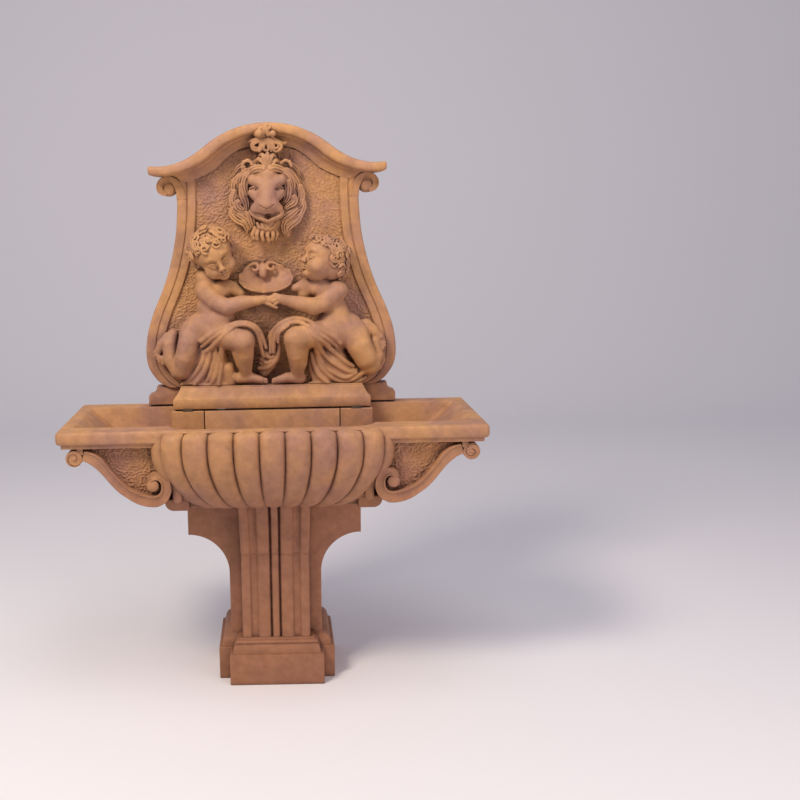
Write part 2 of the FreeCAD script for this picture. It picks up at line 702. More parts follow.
def basin_holes():
    """The drain hole, the hose and cable notch, and the sockets for the dowels."""
    drain = flats(at(S.drain_x, S.drain_depth, S.seat_height - 1), at(S.drain_x, S.drain_depth, S.rim_height),
                  (drain_thread_round() + S.seat_gap) / math.cos(math.pi / 12))
    notch = block(-S.bay_half + 30, -S.bay_half + 54, -1, S.bay_back + 1, S.rim_height - 30, S.rim_height + 1)
    return [drain, notch] + dowel_rods(S.dowel_round)


def make_pump_cover():
    """The loose stone that closes the pump bay; the water slots in its foot are also its hand holds."""
    body = new_body("pump_cover")
    half = S.bay_half - S.cover_gap
    back = S.house_front - S.cover_thick
    foot = wing_floor() + S.joint
    face = sketch_on(body, "XZ", back)
    rectangle(face, -half, half, sump_floor() + S.seat_gap, S.rim_height)
    pad(body, face, S.cover_thick)
    for i in range(4):
        slot = sketch_on(body, "XZ", S.house_front)
        middle = half * (2 * i - 3) / 4
        rectangle(slot, middle - S.cover_slot / 2, middle + S.cover_slot / 2,
                  sump_floor() - S.joint, foot - S.joint * 2)
        pocket(body, slot, S.cover_thick)
    return keep(body, "pump_cover")


def base_foot():
    """Height of the underside of the panel's base, an open joint above the basin."""
    return S.rim_height + S.joint


def make_panel_base():
    """One casting: the rear base across the back and the moulded plinth under the children."""
    body = new_body("panel_base")
    low = base_foot()
    rear_top = low + S.rear_base_rise + S.base_cove
    rear = sketch_on(body, "XZ", 0)
    cove = S.base_cove * 1.15
    outline(rear, mirrored([
        (S.rear_base_half, low),
        (S.rear_base_half, low + S.rear_base_rise, -cove),
        (S.rear_base_half - S.base_cove, rear_top),
    ]))
    pad(body, rear, S.rear_base_depth)
    slab = sketch_on(body, "XY", low)
    rectangle(slab, -S.plinth_low_half, S.plinth_low_half, -S.plinth_low_front, 0)
    pad(body, slab, S.plinth_low_rise)
    lean = sketch_on(body, "XY", low + S.plinth_low_rise)
    step = S.plinth_low_front - S.plinth_front
    rectangle(lean, -S.plinth_low_half + step / 3, S.plinth_low_half - step / 3,
              -S.plinth_low_front + step / 3, 0)
    pad(body, lean, S.plinth_cove, taper=-40)
    top = sketch_on(body, "XY", low + S.plinth_low_rise + S.plinth_cove)
    rectangle(top, -S.plinth_half, S.plinth_half, -S.plinth_front, 0)
    pad(body, top, S.plinth_rise)
    seat = sketch_on(body, "XY", low + S.plinth_low_rise + S.plinth_cove + S.plinth_rise)
    rectangle(seat, -S.rear_base_half, S.rear_base_half, -S.panel_depth - S.frame_relief - S.seat_gap, 0)
    pocket(body, seat, low + S.plinth_low_rise + S.plinth_cove + S.plinth_rise - rear_top)
    slot = sketch_on(body, "XY", low + S.plinth_low_rise + S.plinth_cove + S.plinth_rise)
    rectangle(slot, -S.hose_slot / 2, S.hose_slot / 2, -S.pump_back - S.pump_width, 0)
    pocket(body, slot, S.rear_base_rise + S.base_cove + S.plinth_low_rise + S.plinth_cove + S.plinth_rise)
    for side in (-1, 1):
        under = sketch_on(body, "XY", low + S.dowel_length / 2)
        regular(under, (S.bay_half + S.house_half) / 2 * side, -S.house_front / 2, S.dowel_round)
        pocket(body, under, S.dowel_length / 2)
        over = sketch_on(body, "XY", rear_top)
        regular(over, S.foot_half * (side * 0.7), -S.panel_depth / 2, S.dowel_round)
        pocket(body, over, S.dowel_length / 2)
    return keep(body, "panel_base")


def panel_foot():
    """Height where the panel stands on its base."""
    return base_foot() + S.rear_base_rise + S.base_cove


def hood_arcs():
    """The crown arc and the hollow arc of the right half: centre, radius, and the turns they run."""
    apex = Vec(0, float(S.hood_apex), 0)
    bend = Vec(float(S.hood_bend_x), float(S.hood_bend_z), 0)
    tip = Vec(float(S.hood_half), float(S.hood_tip_z), 0)
    half_turn = math.atan2(apex.y - bend.y, bend.x)
    crown = (bend - apex).Length / 2 / math.sin(half_turn)
    slope = 2 * half_turn
    chord_slope = math.atan2(bend.y - tip.y, tip.x - bend.x)
    hollow = (tip - bend).Length / 2 / math.sin(slope - chord_slope)
    crown_centre = apex - Vec(0, crown, 0)
    hollow_centre = bend + Vec(math.sin(slope), math.cos(slope), 0) * hollow
    return (crown_centre, crown, slope), (hollow_centre, hollow, slope, 2 * chord_slope - slope)


def hood_stations():
    """The right half of the hood's curve in chords: points and outward directions from apex to tip."""
    crown, hollow = hood_arcs()
    steps = 6
    stations = []
    for i in range(steps + 1):
        turn = crown[2] * i / steps
        out = Vec(math.sin(turn), math.cos(turn), 0)
        stations.append((crown[0] + out * crown[1], out))
    for i in range(1, steps + 1):
        turn = hollow[2] + (hollow[3] - hollow[2]) * i / steps
        out = Vec(math.sin(turn), math.cos(turn), 0)
        stations.append((hollow[0] - out * hollow[1], out))
    return stations


def hood_curve(drop):
    """The hood's curve let down by drop along its own normal, from the apex to the right tip."""
    return [point - out * drop for point, out in hood_stations()]


def hood_height(drop, x):
    """Height of the let-down hood curve over a point beside the middle."""
    curve = hood_curve(drop)
    for a, b in zip(curve, curve[1:]):
        if a.x <= x <= b.x:
            return a.y + (b.y - a.y) * (x - a.x) / (b.x - a.x)
    return curve[-1].y


def hood_layer(upper_drop, lower_drop, back, front):
    """A band between two let-down copies of the hood's curve."""
    over, under = hood_curve(upper_drop), hood_curve(lower_drop)
    right = over + under[::-1]
    left = [Vec(-p.x, p.y, 0) for p in right]
    halves = [plate(Part.makePolygon([Vec(p.x, 0, p.y) for p in side + side[:1]]), back, front)
              for side in (right, left)]
    return halves[0].fuse(halves[1])


def hood_section():
    """The coping's moulding: (drop along the curve's own normal, distance from the wall) in a loop."""
    roll, bed, face = float(S.hood_band), float(S.hood_bed), float(S.panel_depth + S.frame_relief)
    front = float(S.hood_front)
    spread = front - face
    nose = [(roll * 0.5 - roll * 0.5 * math.cos(turn), front - roll * 0.5 * (1 - math.sin(turn)))
            for turn in (0, math.pi / 4, math.pi / 2, math.pi * 3 / 4, math.pi)]
    steps = [(roll + 1, face + spread * 0.66), (roll + bed * 0.3, face + spread * 0.6),
             (roll + bed * 0.5, face + spread * 0.42), (roll + bed * 0.55, face + spread * 0.28),
             (roll + bed * 0.9, face + spread * 0.24), (roll + bed, face + spread * 0.1)]
    return [(0, 0)] + nose + steps + [(roll + bed, 0)]


def make_hood():
    """The coping over the panel: one moulding carried along the crown and the two hollow arcs."""
    rings = [[Vec(point.x, -depth, point.y) - Vec(out.x, 0, out.y) * drop for drop, depth in hood_section()]
             for point, out in hood_stations()]
    rings = [[Vec(-p.x, p.y, p.z) for p in ring] for ring in reversed(rings[1:])] + rings
    shape = skin(rings).cut(Part.makeCompound(dowel_rods(S.dowel_round)))
    return keep(feature_of("hood_cornice", shape), "hood_cornice")


def panel_right():
    """Right-hand edge of the panel from its foot to under the hood: three tangent-looking arcs."""
    foot = Vec(float(S.foot_half), float(panel_foot()), 0)
    belly = Vec(float(S.belly_half), float(S.belly_height), 0)
    neck = Vec(float(S.neck_half), float(S.neck_height), 0)
    rise = neck.y - belly.y
    turn = belly + (neck - belly) * 0.5
    low_mid = foot + (belly - foot) * 0.5 + Vec(1, -0.62, 0).normalize() * (belly - foot).Length * 0.2
    first, _ = arc_between(belly, turn, rise * 0.6)
    second, _ = arc_between(turn, neck, -rise * 0.6)
    return foot, low_mid, belly, first, turn, second, neck


def drawn_in(points, inset):
    """Points of a chain of three-point arcs, each moved in along the arcs' own normals."""
    normals = [Vec(0, 0, 0) for _ in points]
    for first in range(0, len(points) - 2, 2):
        circle_of = Part.Arc(*points[first:first + 3]).toShape().Curve
        for i in range(first, first + 3):
            normal = (points[i] - circle_of.Center).normalize()
            normals[i] += normal if normal.x > 0 else normal * -1
    return [point - normal.normalize() * inset for point, normal in zip(points, normals)]


def panel_face(inset=0.0, drop=0.0):
    """The panel's outline, drawn in from its sides by inset and let down from the hood by drop."""
    low = float(panel_foot())
    right = drawn_in(panel_right(), inset)
    right[0] = Vec(right[0].x, low, 0)
    let_down = float(S.hood_band + S.hood_bed) + drop
    shoulder = Vec(right[6].x, hood_height(let_down, right[6].x), 0)
    side = []
    for first in (0, 2, 4):
        arc = Part.Arc(*right[first:first + 3]).toShape()
        side += sorted(arc.discretize(6), key=lambda point: point.y)[:-1]
    side += [right[6], shoulder]
    side += [point for point in reversed(hood_curve(let_down)) if point.x < shoulder.x - 1]
    ring = side + [Vec(-p.x, p.y, 0) for p in reversed(side[:-1])]
    return Part.makePolygon([Vec(p.x, 0, p.y) for p in ring + ring[:1]])


def make_panel():
    """The shaped back: a field, a two-band frame round it, volutes at its shoulders, a hose slot."""
    outer = panel_face()
    deep = float(S.panel_depth)
    front = float(S.panel_depth + S.frame_relief)
    field = plate(outer, 0, deep)
    raised = plate(outer, 0, front)

    inner = plate(panel_face(float(S.frame_width), float(S.frame_groove) * 0.7), deep, front + 1)
    groove = plate(panel_face(float(S.frame_groove), 1), front - 4, front + 1)
    groove = groove.cut(plate(panel_face(float(S.frame_groove) + 3, 1), front - 5, front + 2))
    shape = field.fuse(raised.cut(inner).cut(groove))
    ears = []
    for side in (-1, 1):
        eye = disc(S.ear_x * side, S.ear_z, S.ear_round, deep - 30, front + 10)
        inner = min(side * float(S.neck_half - S.frame_width / 2), side * float(S.ear_x + S.ear_round * 0.3))
        outer_x = max(side * float(S.neck_half - S.frame_width / 2), side * float(S.ear_x + S.ear_round * 0.3))
        stem = block(inner, outer_x, deep - 30, front + 6, S.ear_z, S.ear_z + S.ear_round * 1.5)
        ears.append(eye.fuse(stem).cut(hood_solid()))
    shape = shape.multiFuse(ears)
    half = float(S.hose_slot) / 2
    slot = block(-half, half, -1, S.hose_depth + S.pipe_bend, panel_foot() - 1,
                 S.mouth_z + S.pipe_round * 2)
    bore = flats(at(0, 0, S.mouth_z), at(0, S.muzzle_front, S.mouth_z), S.pipe_round + S.pipe_fit)
    pilots = [flats(spot, spot + Vec(0, -SCREW_LENGTH - S.seat_gap, 0), SCREW_ROUND, 6)
              for spot in saddle_screw_spots()]
    shape = shape.cut(Part.makeCompound([slot, bore] + dowel_rods(S.dowel_round) + tie_solids(S.seat_gap)
                                        + pilots))
    return keep(feature_of("back_panel", shape), "back_panel")


def hood_solid():
    """Everything above the underside of the hood, to trim what meets it."""
    return hood_layer(-40, float(S.hood_band + S.hood_bed), -1, S.hood_front + 40)


def dowel_rods(radius, shorter=0.0):
    """The steel dowels: pedestal to basin, basin to base, base to panel, panel to hood."""
    hood_x = float(S.hood_bend_x) * 0.6
    hood_seat = hood_height(float(S.hood_band + S.hood_bed), hood_x)
    half = float(S.dowel_length) / 2 - shorter
    seats = [(S.wing_half * 0.75, S.core_front * 0.75, float(S.seat_height), half, half),
             ((S.bay_half + S.house_half) / 2, S.house_front / 2, float(S.rim_height), half,
              half + float(S.joint)),
             (S.foot_half * 0.7, S.panel_depth / 2, float(panel_foot()), half, half),
             (hood_x, S.panel_depth / 2, hood_seat, half, half * 0.7)]
    return [flats(at(side * x, depth, z - below), at(side * x, depth, z + above), radius)
            for x, depth, z, below, above in seats for side in (-1, 1)]


def tie_solids(room=0.0):
    """Wall ties: a plate against the wall whose top lip reaches forward into the panel."""
    room = float(room)
    solids = []
    for side in (-1, 1):
        left = float(side * S.tie_x - S.tie_width / 2) - room
        right = float(side * S.tie_x + S.tie_width / 2) + room
        low = float(S.tie_z - S.tie_rise / 3)
        top = low + float(S.tie_rise)
        thick = float(S.tie_thick)
        sheet = block(left, right, -1 if room else 0, thick + room, low - room, top + room)
        lip = block(left, right, thick / 2, thick + float(S.tie_lip) + room, top - thick - room, top + room)
        tie = sheet.fuse(lip)
        if room:
            tie = tie.fuse(flats(at(side * S.tie_x, thick, S.tie_z), at(side * S.tie_x, thick * 5, S.tie_z),
                                 S.tie_hole * 2.5))
        else:
            tie = tie.cut(rod(at(side * S.tie_x, -1, S.tie_z), at(side * S.tie_x, thick + 1, S.tie_z),
                              S.tie_hole))
        solids.append(tie)
    return solids


def bare(thing):
    """The shape of a finished piece, back in the wall frame."""
    shape = thing.Shape.copy()
    shape.Placement = FreeCAD.Placement()
    return shape


def limb(start, start_radius, end, end_radius, flat=1.0):
    """A round-ended tapered limb, cut in facets as a carver blocks one out, fewer on a small one."""
    axis = (end - start).normalize()
    side, front = square_to(axis)
    sides = SIDES if max(start_radius, end_radius) > SMALL_LIMB else SMALL_SIDES
    rings = []
    for centre, radius, way in ((start, start_radius, -1), (end, end_radius, 1)):
        domed = [ring_of(centre + axis * (way * radius * math.sin(lean)), side, front,
                         radius * math.cos(lean), flat, sides) for lean in (0.95, 0.3)]
        rings += domed if way < 0 else domed[::-1]
    return skin(rings)


def body_of(limbs, flat=1.0):
    """Limbs given as pairs of (x, distance from the wall, height, radius), joined together."""
    solids = [limb(at(*a[:3]), a[3], at(*b[:3]), b[3], flat) for a, b in limbs]
    return solids[0].multiFuse(solids[1:])


def trimmed(shape, neighbours):
    """Cut a carved piece to the castings that it sits on and keep its main body."""
    cut = shape.cut(Part.makeCompound(neighbours))
    return max(cut.Solids, key=lambda solid: solid.Volume)


def cloth_fold(lap, foot, lap_half, foot_half, depth):
    """A hanging fold of cloth: narrow at the lap, spread where it lies on the plinth."""
    rings = [ring_of(at(*spot), Vec(1, 0, 0), Vec(0, -1, 0), half, depth / foot_half)
             for spot, half in ((lap, lap_half * 0.6), (lap[:2] + (lap[2] - lap_half * 0.5,), lap_half),
                                (foot, foot_half))]
    return skin(rings)


def raised(spots, over):
    """Spots given from the plinth up, lifted to their height over the ground."""
    return [tuple((x, depth, z + float(over), radius) for x, depth, z, radius in pair) for pair in spots]


def plinth_top():
    return base_foot() + S.plinth_low_rise + S.plinth_cove + S.plinth_rise


def make_left_putto(neighbours):
    """The child on the viewer's left, who kneels and leans the head to that side."""
    limbs = [
        ((-152, 116, 376, 57), (-140, 128, 342, 50)),
        ((-156, 106, 318, 27), (-164, 98, 268, 34)),
        ((-184, 96, 252, 38), (-118, 88, 254, 34)),
        ((-160, 94, 240, 50), (-172, 98, 160, 52)),
        ((-174, 97, 155, 51), (-202, 92, 98, 46)),
        ((-190, 104, 256, 30), (-150, 138, 222, 24)),
        ((-152, 138, 223, 23), (-38, 150, 230, 15)),
        ((-46, 150, 229, 15), (2, 148, 226, 10)),
        ((-38, 142, 234, 13), (-12, 124, 240, 13)),
        ((-112, 90, 250, 26), (-70, 100, 236, 18)),
        ((-206, 96, 170, 40), (-243, 120, 58, 33)),
        ((-262, 92, 150, 26), (-292, 100, 110, 26)),
        ((-292, 98, 118, 25), (-272, 112, 66, 17)),
        ((-165, 104, 120, 46), (-80, 150, 124, 37)),
        ((-78, 150, 120, 34), (-72, 138, 42, 25)),
        ((-78, 130, 24, 22), (-22, 146, 13, 12)),
    ]
    figure = body_of(raised(limbs, plinth_top()))
    top = float(plinth_top())
    cloth = [cloth_fold((-150, 100, top + 122), (-172, 84, top), 60, 70, 40),
             cloth_fold((-84, 92, top + 150), (-60, 84, top), 50, 56, 36)]
    return keep(feature_of("left_putto", trimmed(figure.multiFuse(cloth), neighbours)), "left_putto")


def make_right_putto(neighbours):
    """The child on the viewer's right, who kneels and looks up towards the dish."""
    limbs = [
        ((150, 116, 352, 56), (136, 126, 328, 47)),
        ((160, 106, 300, 27), (166, 98, 256, 34)),
        ((186, 98, 244, 38), (130, 92, 250, 32)),
        ((166, 94, 232, 48), (188, 96, 150, 52)),
        ((186, 97, 150, 50), (206, 92, 92, 46)),
        ((190, 110, 244, 31), (112, 140, 214, 25)),
        ((114, 140, 214, 24), (44, 148, 228, 15)),
        ((50, 148, 227, 16), (16, 146, 230, 11)),
        ((40, 142, 234, 13), (14, 124, 240, 13)),
        ((206, 98, 170, 42), (282, 112, 54, 33)),
        ((252, 88, 160, 25), (290, 92, 100, 24)),
        ((290, 92, 110, 23), (276, 104, 46, 17)),
        ((165, 104, 118, 46), (76, 152, 130, 38)),
        ((68, 152, 126, 35), (62, 142, 40, 27)),
        ((78, 130, 24, 22), (18, 148, 13, 12)),
    ]
    figure = body_of(raised(limbs, plinth_top()))
    top = float(plinth_top())
    cloth = [cloth_fold((156, 100, top + 122), (176, 84, top), 60, 72, 40),
             cloth_fold((96, 92, top + 150), (66, 84, top), 50, 56, 36)]
    return keep(feature_of("right_putto", trimmed(figure.multiFuse(cloth), neighbours)), "right_putto")


def dish_solid(grow=0.0):
    """The outer form of the shell dish, before it is hollowed: an oval bowl that tips forward."""
    levels = [(1.0, 0.0), (0.97, 0.25), (0.84, 0.6), (0.56, 0.88), (0.2, 1.0)]
    deep = float(S.dish_depth) + grow
    rings = []
    for share, drop in levels:
        half = float(S.dish_half) * share + grow
        rings.append(ring_of(Vec(0, 0, -deep * drop), Vec(1, 0, 0), Vec(0, -1, 0), half,
                             float(S.dish_reach) / float(S.dish_half), 20))
    solid = skin(rings)
    solid.rotate(Vec(0, 0, 0), Vec(1, 0, 0), float(S.dish_tilt))
    solid.translate(at(S.dish_x, S.dish_middle, S.dish_z))
    return solid


def make_dish(neighbours):
    """The scallop shell that the children hold, its hinge rolled up against the panel."""
    hollow = dish_solid(-float(S.dish_wall))
    tilt = math.radians(float(S.dish_tilt))
    hollow.translate(Vec(0, math.sin(tilt), math.cos(tilt)) * (float(S.dish_wall) * 0.2))
    shell = dish_solid().cut(hollow)
    back = float(S.dish_reach) * 0.86
    hinge_depth = S.dish_middle - back * math.cos(tilt)
    hinge_z = float(S.dish_z) + back * math.sin(tilt)
    knuckles = [limb(at(S.dish_x + side * 6, hinge_depth, hinge_z + 2), 13,
                     at(S.dish_x + side * 26, hinge_depth, hinge_z + 4), 10) for side in (-1, 1)]
    return keep(feature_of("shell_dish", trimmed(shell.multiFuse(knuckles), neighbours)), "shell_dish")


def make_lion(neighbours):
    """The mask over the dish: mane in long locks, brow, muzzle and beard, bored for the spout."""
    face = [
        ((0, 70, 24, 52), (0, 78, -24, 46)),
        ((0, 98, 34, 27), (0, 114, -22, 22)),
        ((-17, 104, -34, 21), (17, 104, -34, 21)),
        ((-30, 92, 42, 19), (30, 92, 42, 19)),
        ((-24, 88, -62, 17), (24, 88, -62, 17)),
        ((-22, 74, -94, 20), (16, 74, -96, 18)),
        ((-52, 60, 88, 15), (-46, 66, 80, 12)),
        ((52, 60, 88, 15), (46, 66, 80, 12)),
        ((-10, 84, 108, 14), (0, 92, 84, 20)),
    ]
    # The mane: paired locks that fall from the brow to beside the beard.
    locks = [((24, 64, 96, 19), (66, 62, 62, 24)), ((62, 62, 66, 24), (84, 58, 0, 22)),
             ((82, 58, 6, 21), (74, 60, -56, 20)), ((58, 74, 34, 20), (64, 74, -34, 18)),
             ((74, 60, -52, 19), (50, 58, -98, 14))]
    for a, b in locks:
        face += [(a, b), ((-a[0],) + a[1:], (-b[0],) + b[1:])]
    mask = body_of(raised(face, S.lion_z))
    bore = flats(at(0, 0, S.mouth_z), at(0, S.muzzle_front + 20, S.mouth_z), S.pipe_round + S.pipe_fit)
    throat = flats(at(0, S.pipe_end - 12, S.mouth_z), at(0, S.muzzle_front + 20, S.mouth_z),
                   S.pipe_round * 1.7)
    return keep(feature_of("lion_mask", trimmed(mask, neighbours + [bore, throat])), "lion_mask")


def make_keystone(neighbours):
    """The small palmette under the crown of the hood: seven petals fanned from one knot."""
    knot_z = float(S.hood_apex - S.hood_band) - 8
    knot_depth = float(S.hood_front) - 8
    petals = [((-14, knot_depth, knot_z + 8, 11), (14, knot_depth, knot_z + 6, 9))]
    for i in range(7):
        lean = math.radians(-78 + 26 * i)
        tip = (56 * math.sin(lean), knot_depth - 10, knot_z - 46 * math.cos(lean), 9)
        petals.append(((0, knot_depth - 8, knot_z, 5), tip))
    fan = body_of(petals)
    return keep(feature_of("keystone_shell", trimmed(fan, neighbours)), "keystone_shell")


def make_putti_and_carvings(panel, base, hood):
    """The carved pieces, each trimmed to what it is fixed to."""
    panel_shape, base_shape, hood_shape = bare(panel), bare(base), bare(hood)
    wall_side = block(-S.basin_half, S.basin_half, -10, S.panel_depth * 0.5, 0, S.hood_apex + 100)
    seats = [panel_shape, base_shape, wall_side]
    dish_room = dish_solid(float(S.seat_gap))
    left = make_left_putto(seats + [dish_room])
    make_right_putto(seats + [dish_room, bare(left)])
    make_dish([panel_shape, wall_side])
    lion = make_lion([panel_shape, wall_side])
    make_keystone([panel_shape, hood_shape, wall_side, bare(lion)])


def ring_solid(centre, way, inner, outer, length):
    """A plain ring: a tube section about a line from centre."""
    end = centre + way * float(length)
    return flats(centre, end, outer).cut(flats(centre - way, end + way, inner))


def tube(stations, outer, inner):
    """A pipe in flats through stations (point, direction), each square to the pipe's line."""
    def core(radius, beyond):
        ends = [(stations[0][0] - stations[0][1] * beyond, stations[0][1])] + stations[1:-1]
        ends.append((stations[-1][0] + stations[-1][1] * beyond, stations[-1][1]))
        return skin([ring_of(point, Vec(1, 0, 0), Vec(1, 0, 0).cross(way), float(radius), 1.0, 12)
                     for point, way in ends])
    return core(outer, 0).cut(core(inner, 1))


def bend_stations(start, way, centre, axis, degrees, steps):
    """Points and directions along a bend, both ends included."""
    stations = []
    for i in range(steps + 1):
        turn = FreeCAD.Rotation(axis, degrees * i / steps)
        stations.append((centre + turn.multVec(start - centre), turn.multVec(way)))
    return stations


def make_spout():
    """The bent copper pipe that brings the water through the mask."""
    depth, bend, mouth = S.hose_depth, S.pipe_bend, S.mouth_z
    start, knee = at(0, depth, S.hose_end - 22), at(0, depth, mouth - bend)
    end = at(0, S.pipe_end, mouth)
    elbow = bend_stations(knee, UP, at(0, depth + bend, mouth - bend), Vec(1, 0, 0), 90, 4)
    pipe = tube([(start, UP)] + elbow + [(end, Vec(0, -1, 0))], S.pipe_round, S.pipe_round - S.pipe_wall)
    return keep(feature_of("spout_pipe", pipe), "spout_pipe")


def pump_axis(x):
    """A point of the pump's axis, at the middle of its housing."""
    return at(x, S.pump_back + S.pump_width / 2, sump_floor() + S.foot_rise + S.pump_rise / 2)


def outlet_top():
    return pump_axis(0).z + float(S.chamber_round) + 26


def make_hose():
    """The hose from the pump's outlet up the slot to the spout: straight runs and tangent arcs."""
    degrees = 60
    lean = math.radians(degrees)
    out = float(S.pump_back + S.pump_width / 2)
    back = float(S.hose_depth)
    bend = float(S.hose_bend)
    tangent = bend * math.tan(lean / 2)
    low_turn = float(base_foot()) + bend * 0.2
    high_turn = low_turn + (out - back) / math.tan(lean)
    slant = Vec(0, math.sin(lean), math.cos(lean))
    a, b = at(0, out, low_turn), at(0, back, high_turn)
    start, end = at(0, out, outlet_top() - 20), at(0, back, S.hose_end)
    p1 = a - UP * tangent
    p3, p4 = b - slant * tangent, b + UP * tangent
    line = [(start, UP)] + bend_stations(p1, UP, p1 + Vec(0, bend, 0), Vec(-1, 0, 0), degrees, 3)
    line += bend_stations(p3, slant, p4 - Vec(0, bend, 0), Vec(1, 0, 0), degrees, 3) + [(end, UP)]
    hose = tube(line, S.hose_round, S.pipe_round)
    length = sum((q - p).Length for (p, _), (q, _) in zip(line, line[1:]))
    section = 12 * math.sin(math.pi / 12) * math.cos(math.pi / 12) * (S.hose_round ** 2 - S.pipe_round ** 2)
    print("hose: length %.1f, volume over section times length %.4f" % (length, hose.Volume / section / length))
    return keep(feature_of("riser_hose", hose), "riser_hose")


SCREW_ROUND, SCREW_LENGTH = 1.75, 7.0


def saddle_screw_spots():
    """Where the saddles' screws enter the floor of the hose slot."""
    floor = S.hose_depth + S.pipe_bend
    return [at(side * (S.hose_slot / 2 - 6), floor, float(panel_foot()) + 77 + 120 * i)
            for i in range(3) for side in (-1, 1)]


def make_hose_fixings():
    """Worm clamps at the hose's two ends, and the saddles that hold it in its slot."""
    out = S.pump_back + S.pump_width / 2
    clamps = []
    for depth, z in ((out, outlet_top() - 14), (S.hose_depth, float(S.hose_end) - 14)):
        band = ring_solid(at(0, depth, z), UP, S.hose_round, S.hose_round + 1.2, 8)
        lug = block(S.hose_round + 0.6, S.hose_round + 7, depth - 3.5, depth + 3.5, z, z + 8)
        clamps.append(band.fuse(lug))
    keep(feature_of("hose_clamps", Part.makeCompound(clamps)), "hose_clamps")
    floor = S.hose_depth + S.pipe_bend
    saddles, screws = [], []
    for i in range(3):
        z = float(panel_foot()) + 70 + 120 * i
        band = ring_solid(at(0, S.hose_depth, z), UP, S.hose_round, S.hose_round + 1.5, 14)
        foot = block(-S.hose_slot / 2 + 1, S.hose_slot / 2 - 1, floor - 1.5, floor, z, z + 14)
        stem = block(-3, 3, S.hose_depth + S.hose_round + 0.7, floor, z, z + 14)
        saddle = band.multiFuse([foot, stem])
        for spot in saddle_screw_spots()[2 * i:2 * i + 2]:
            saddle = saddle.cut(flats(spot + Vec(0, 5, 0), spot + Vec(0, -5, 0), SCREW_ROUND, 6))
        saddles.append(saddle)
    for spot in saddle_screw_spots():
        head = flats(spot + Vec(0, 3.4, 0), spot + Vec(0, 1.5, 0), SCREW_ROUND * 2, 6)
        screws.append(head.fuse(flats(spot + Vec(0, 2, 0), spot + Vec(0, -SCREW_LENGTH, 0), SCREW_ROUND, 6)))
    keep(feature_of("hose_saddles", Part.makeCompound(saddles)), "hose_saddles")
    return keep(feature_of("saddle_screws", Part.makeCompound(screws)), "saddle_screws")


def make_pump():
    """The pump: a sealed motor block whose rotor well opens into the impeller chamber."""
    housing = new_body("pump_housing")
    half = S.pump_width / 2
    block_face = sketch_on(housing, "YZ", -S.pump_length)
    rounded_rectangle(block_face, half, S.pump_rise / 2, S.pump_wall * 2)
    pad(housing, block_face, S.pump_length)
    well_round = S.magnet_round + S.pump_wall / 2
    well = sketch_on(housing, "YZ", -S.magnet_length - S.bush_round)
    regular(well, 0, 0, well_round)
    pocket(housing, well, S.magnet_length + S.bush_round, onward=True)
    bush_seat = sketch_on(housing, "YZ", -S.magnet_length - S.bush_round * 2)
    regular(bush_seat, 0, 0, S.bush_round)
    pocket(housing, bush_seat, S.bush_round, onward=True)
    axis = sump_floor() + S.foot_rise + S.pump_rise / 2
    middle = S.pump_back + half
    keep_at(housing, "pump_housing", S.pump_front_x, middle, axis)

    gland = turned([(0, 0), (0, -S.pump_wall * 3), (S.bush_round, -S.pump_wall * 3),
                    (S.bush_round * 1.4, -S.pump_wall), (S.bush_round * 1.6, 0)], Vec(1, 0, 0))
    keep_at(feature_of("cable_gland", gland), "cable_gland", S.pump_front_x - S.pump_length, middle,
            axis + S.pump_rise / 4)

    chamber = new_body("chamber_cover")
    wall = S.pump_wall * 0.8
    shell = sketch_on(chamber, "YZ", 0)
    regular(shell, 0, 0, S.chamber_round)
    pad(chamber, shell, S.chamber_length)
    spigot = sketch_on(chamber, "XY", 0)
    regular(spigot, S.chamber_length / 2, 0, S.pipe_round)
    pad(chamber, spigot, S.chamber_round + 26)
    inside = sketch_on(chamber, "YZ", 0)
    regular(inside, 0, 0, S.chamber_round - wall)
    pocket(chamber, inside, S.chamber_length - wall, onward=True)
    spigot_bore = sketch_on(chamber, "XY", S.chamber_round + 26)
    regular(spigot_bore, S.chamber_length / 2, 0, S.pipe_round - S.pipe_wall * 1.5)
    pocket(chamber, spigot_bore, S.chamber_round / 2 + 26)
    spindle_hole = sketch_on(chamber, "YZ", S.chamber_length)
    regular(spindle_hole, 0, 0, S.spindle_round)
    pocket(chamber, spindle_hole, wall)
    inlet = sketch_on(chamber, "YZ", S.chamber_length)
    rectangle(inlet, S.inlet_round * 0.4, S.inlet_round, -S.inlet_round * 0.2, S.inlet_round * 0.2)
    inlet_cut = pocket(chamber, inlet, wall)
    inlets = chamber.newObject("PartDesign::PolarPattern", "inlets")
    inlets.Originals = [inlet_cut]
    inlets.Axis = (inlet, ["N_Axis"])
    inlets.Angle = 360
    inlets.Occurrences = 6
    chamber.Tip = inlets
    keep_at(chamber, "chamber_cover", S.pump_front_x, middle, axis)
    return middle, axis


